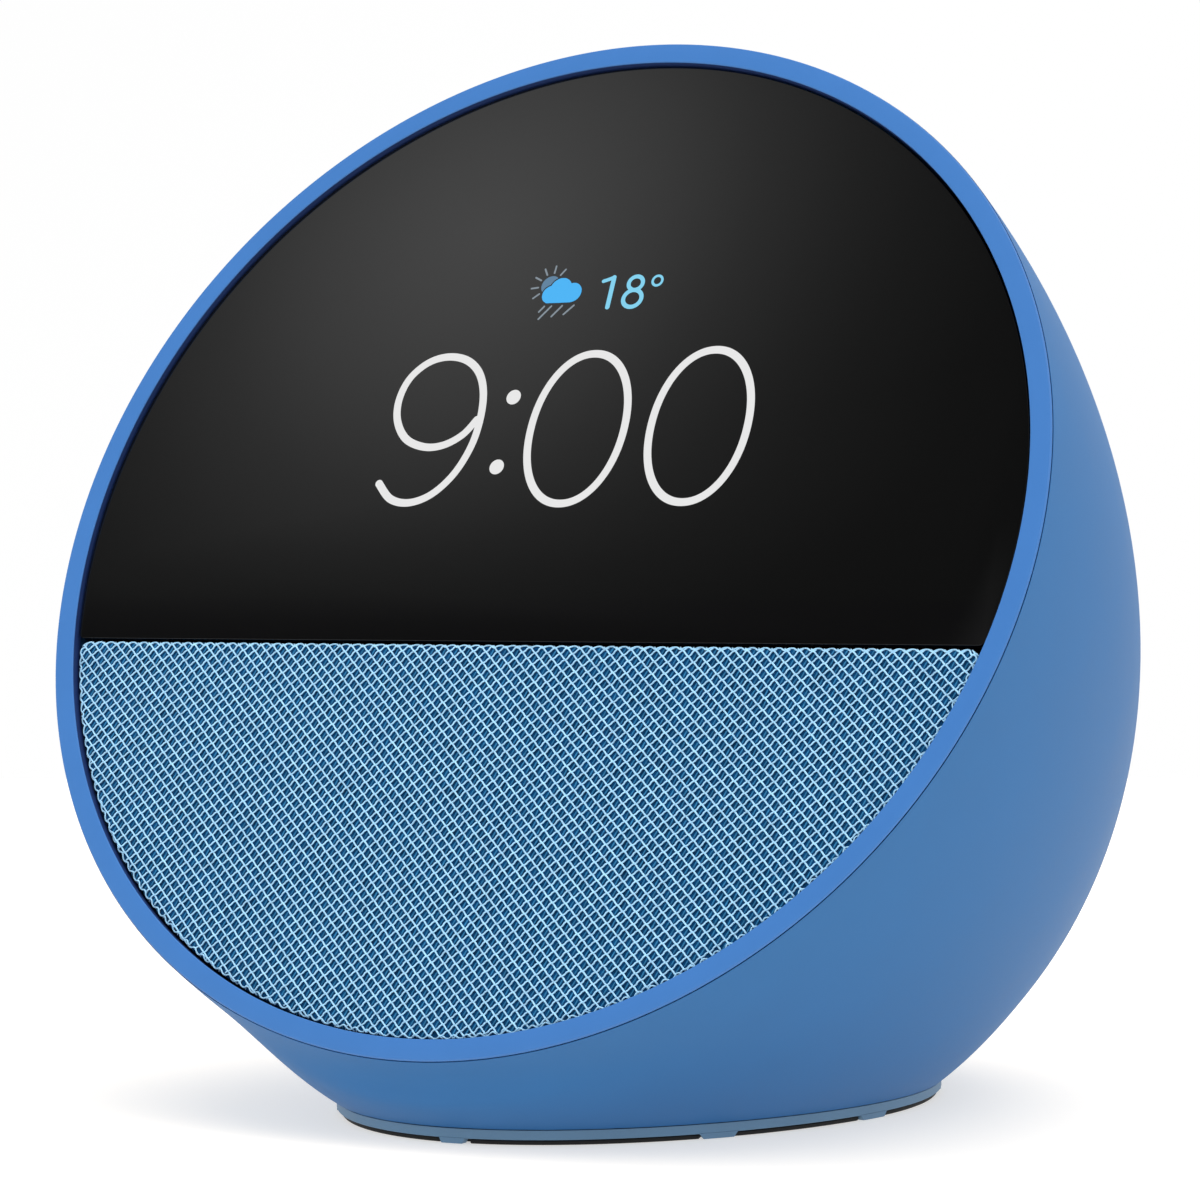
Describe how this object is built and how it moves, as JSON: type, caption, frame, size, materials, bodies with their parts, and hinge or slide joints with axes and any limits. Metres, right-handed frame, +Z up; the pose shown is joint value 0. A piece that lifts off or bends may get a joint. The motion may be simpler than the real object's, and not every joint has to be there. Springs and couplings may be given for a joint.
{
  "type": "smart display",
  "caption": "Half-dome smart display with a tilted round face: half-round clock screen above a knitted speaker grille, blue case, press buttons on top.",
  "frame": {"origin": "centre of the overall box's underside, on the table plane", "axes": "+Z up, the face looks towards -Y and is tilted back, +X to the right of someone facing it"},
  "size_m": [0.1132, 0.103, 0.1111],
  "materials": {
    "bezel_blue": "satin moulded",
    "shell_blue": "fine matt moulded",
    "foot_blue": "fine matt moulded",
    "button_blue": "fine matt moulded",
    "cover_glass": "polished, printed black behind",
    "grille_knit": "open warp knit",
    "grille_plastic": "moulded",
    "black_plastic": "moulded",
    "foam": "foam",
    "rubber": "matt",
    "steel": "zinc plated",
    "magnet": "coated",
    "paper": "pressed paper",
    "copper": "wound wire",
    "circuit": "solder mask",
    "flex": "polyimide",
    "thermal": "soft pad",
    "aluminium": "stamped",
    "wire": "insulated"
  },
  "bodies": {
    "housing": {"front_bezel": "bezel_blue", "rear_shell": "shell_blue", "foot_plate": "foot_blue", "cover_glass": "cover_glass", "grille_fabric": "grille_knit", "grille_frame": "grille_plastic", "front_frame": "black_plastic", "board_bracket": "black_plastic", "display_connector": "black_plastic", "switch_volume_up": "black_plastic", "switch_volume_down": "black_plastic", "switch_mic_off": "black_plastic", "power_socket": "black_plastic", "display_gasket": "foam", "speaker_gasket": "foam", "rubber_foot": "rubber", "speaker_surround": "rubber", "lcd_panel": "steel", "speaker_basket": "steel", "shield_can": "steel", "ballast_plate": "steel", "power_pin": "steel", "frame_screw_1": "steel", "frame_screw_2": "steel", "frame_screw_3": "steel", "frame_screw_4": "steel", "board_screw_1": "steel", "board_screw_2": "steel", "board_screw_3": "steel", "board_screw_4": "steel", "base_screw_1": "steel", "base_screw_2": "steel", "base_screw_3": "steel", "base_screw_4": "steel", "speaker_magnet": "magnet", "main_board": "circuit", "antenna_left": "circuit", "antenna_right": "circuit", "button_board": "circuit", "mic_board": "circuit", "power_board": "circuit", "display_flex": "flex", "thermal_pad": "thermal", "heat_spreader": "aluminium", "speaker_wires": "wire", "power_wires": "wire"},
    "button_volume_up": {"button_volume_up": "button_blue"},
    "button_volume_down": {"button_volume_down": "button_blue"},
    "button_mic_off": {"button_mic_off": "button_blue"},
    "speaker_motor": {"speaker_cone": "paper", "dust_cap": "paper", "voice_coil": "copper"}
  },
  "joints": [
    {"name": "volume_up_press", "type": "slide", "parent": "housing", "child": "button_volume_up", "axis": [0, -0.6197, -0.7849], "range_m": [0, 0.0005], "stiffness_N_per_m": 1500},
    {"name": "volume_down_press", "type": "slide", "parent": "housing", "child": "button_volume_down", "axis": [0, -0.6197, -0.7849], "range_m": [0, 0.0005], "stiffness_N_per_m": 1500},
    {"name": "mic_off_press", "type": "slide", "parent": "housing", "child": "button_mic_off", "axis": [0, -0.6197, -0.7849], "range_m": [0, 0.0005], "stiffness_N_per_m": 1500},
    {"name": "speaker_excursion", "type": "slide", "parent": "housing", "child": "speaker_motor", "axis": [0, -0.9078, 0.4195], "range_m": [-0.0012, 0.0012], "stiffness_N_per_m": 1500}
  ]
}
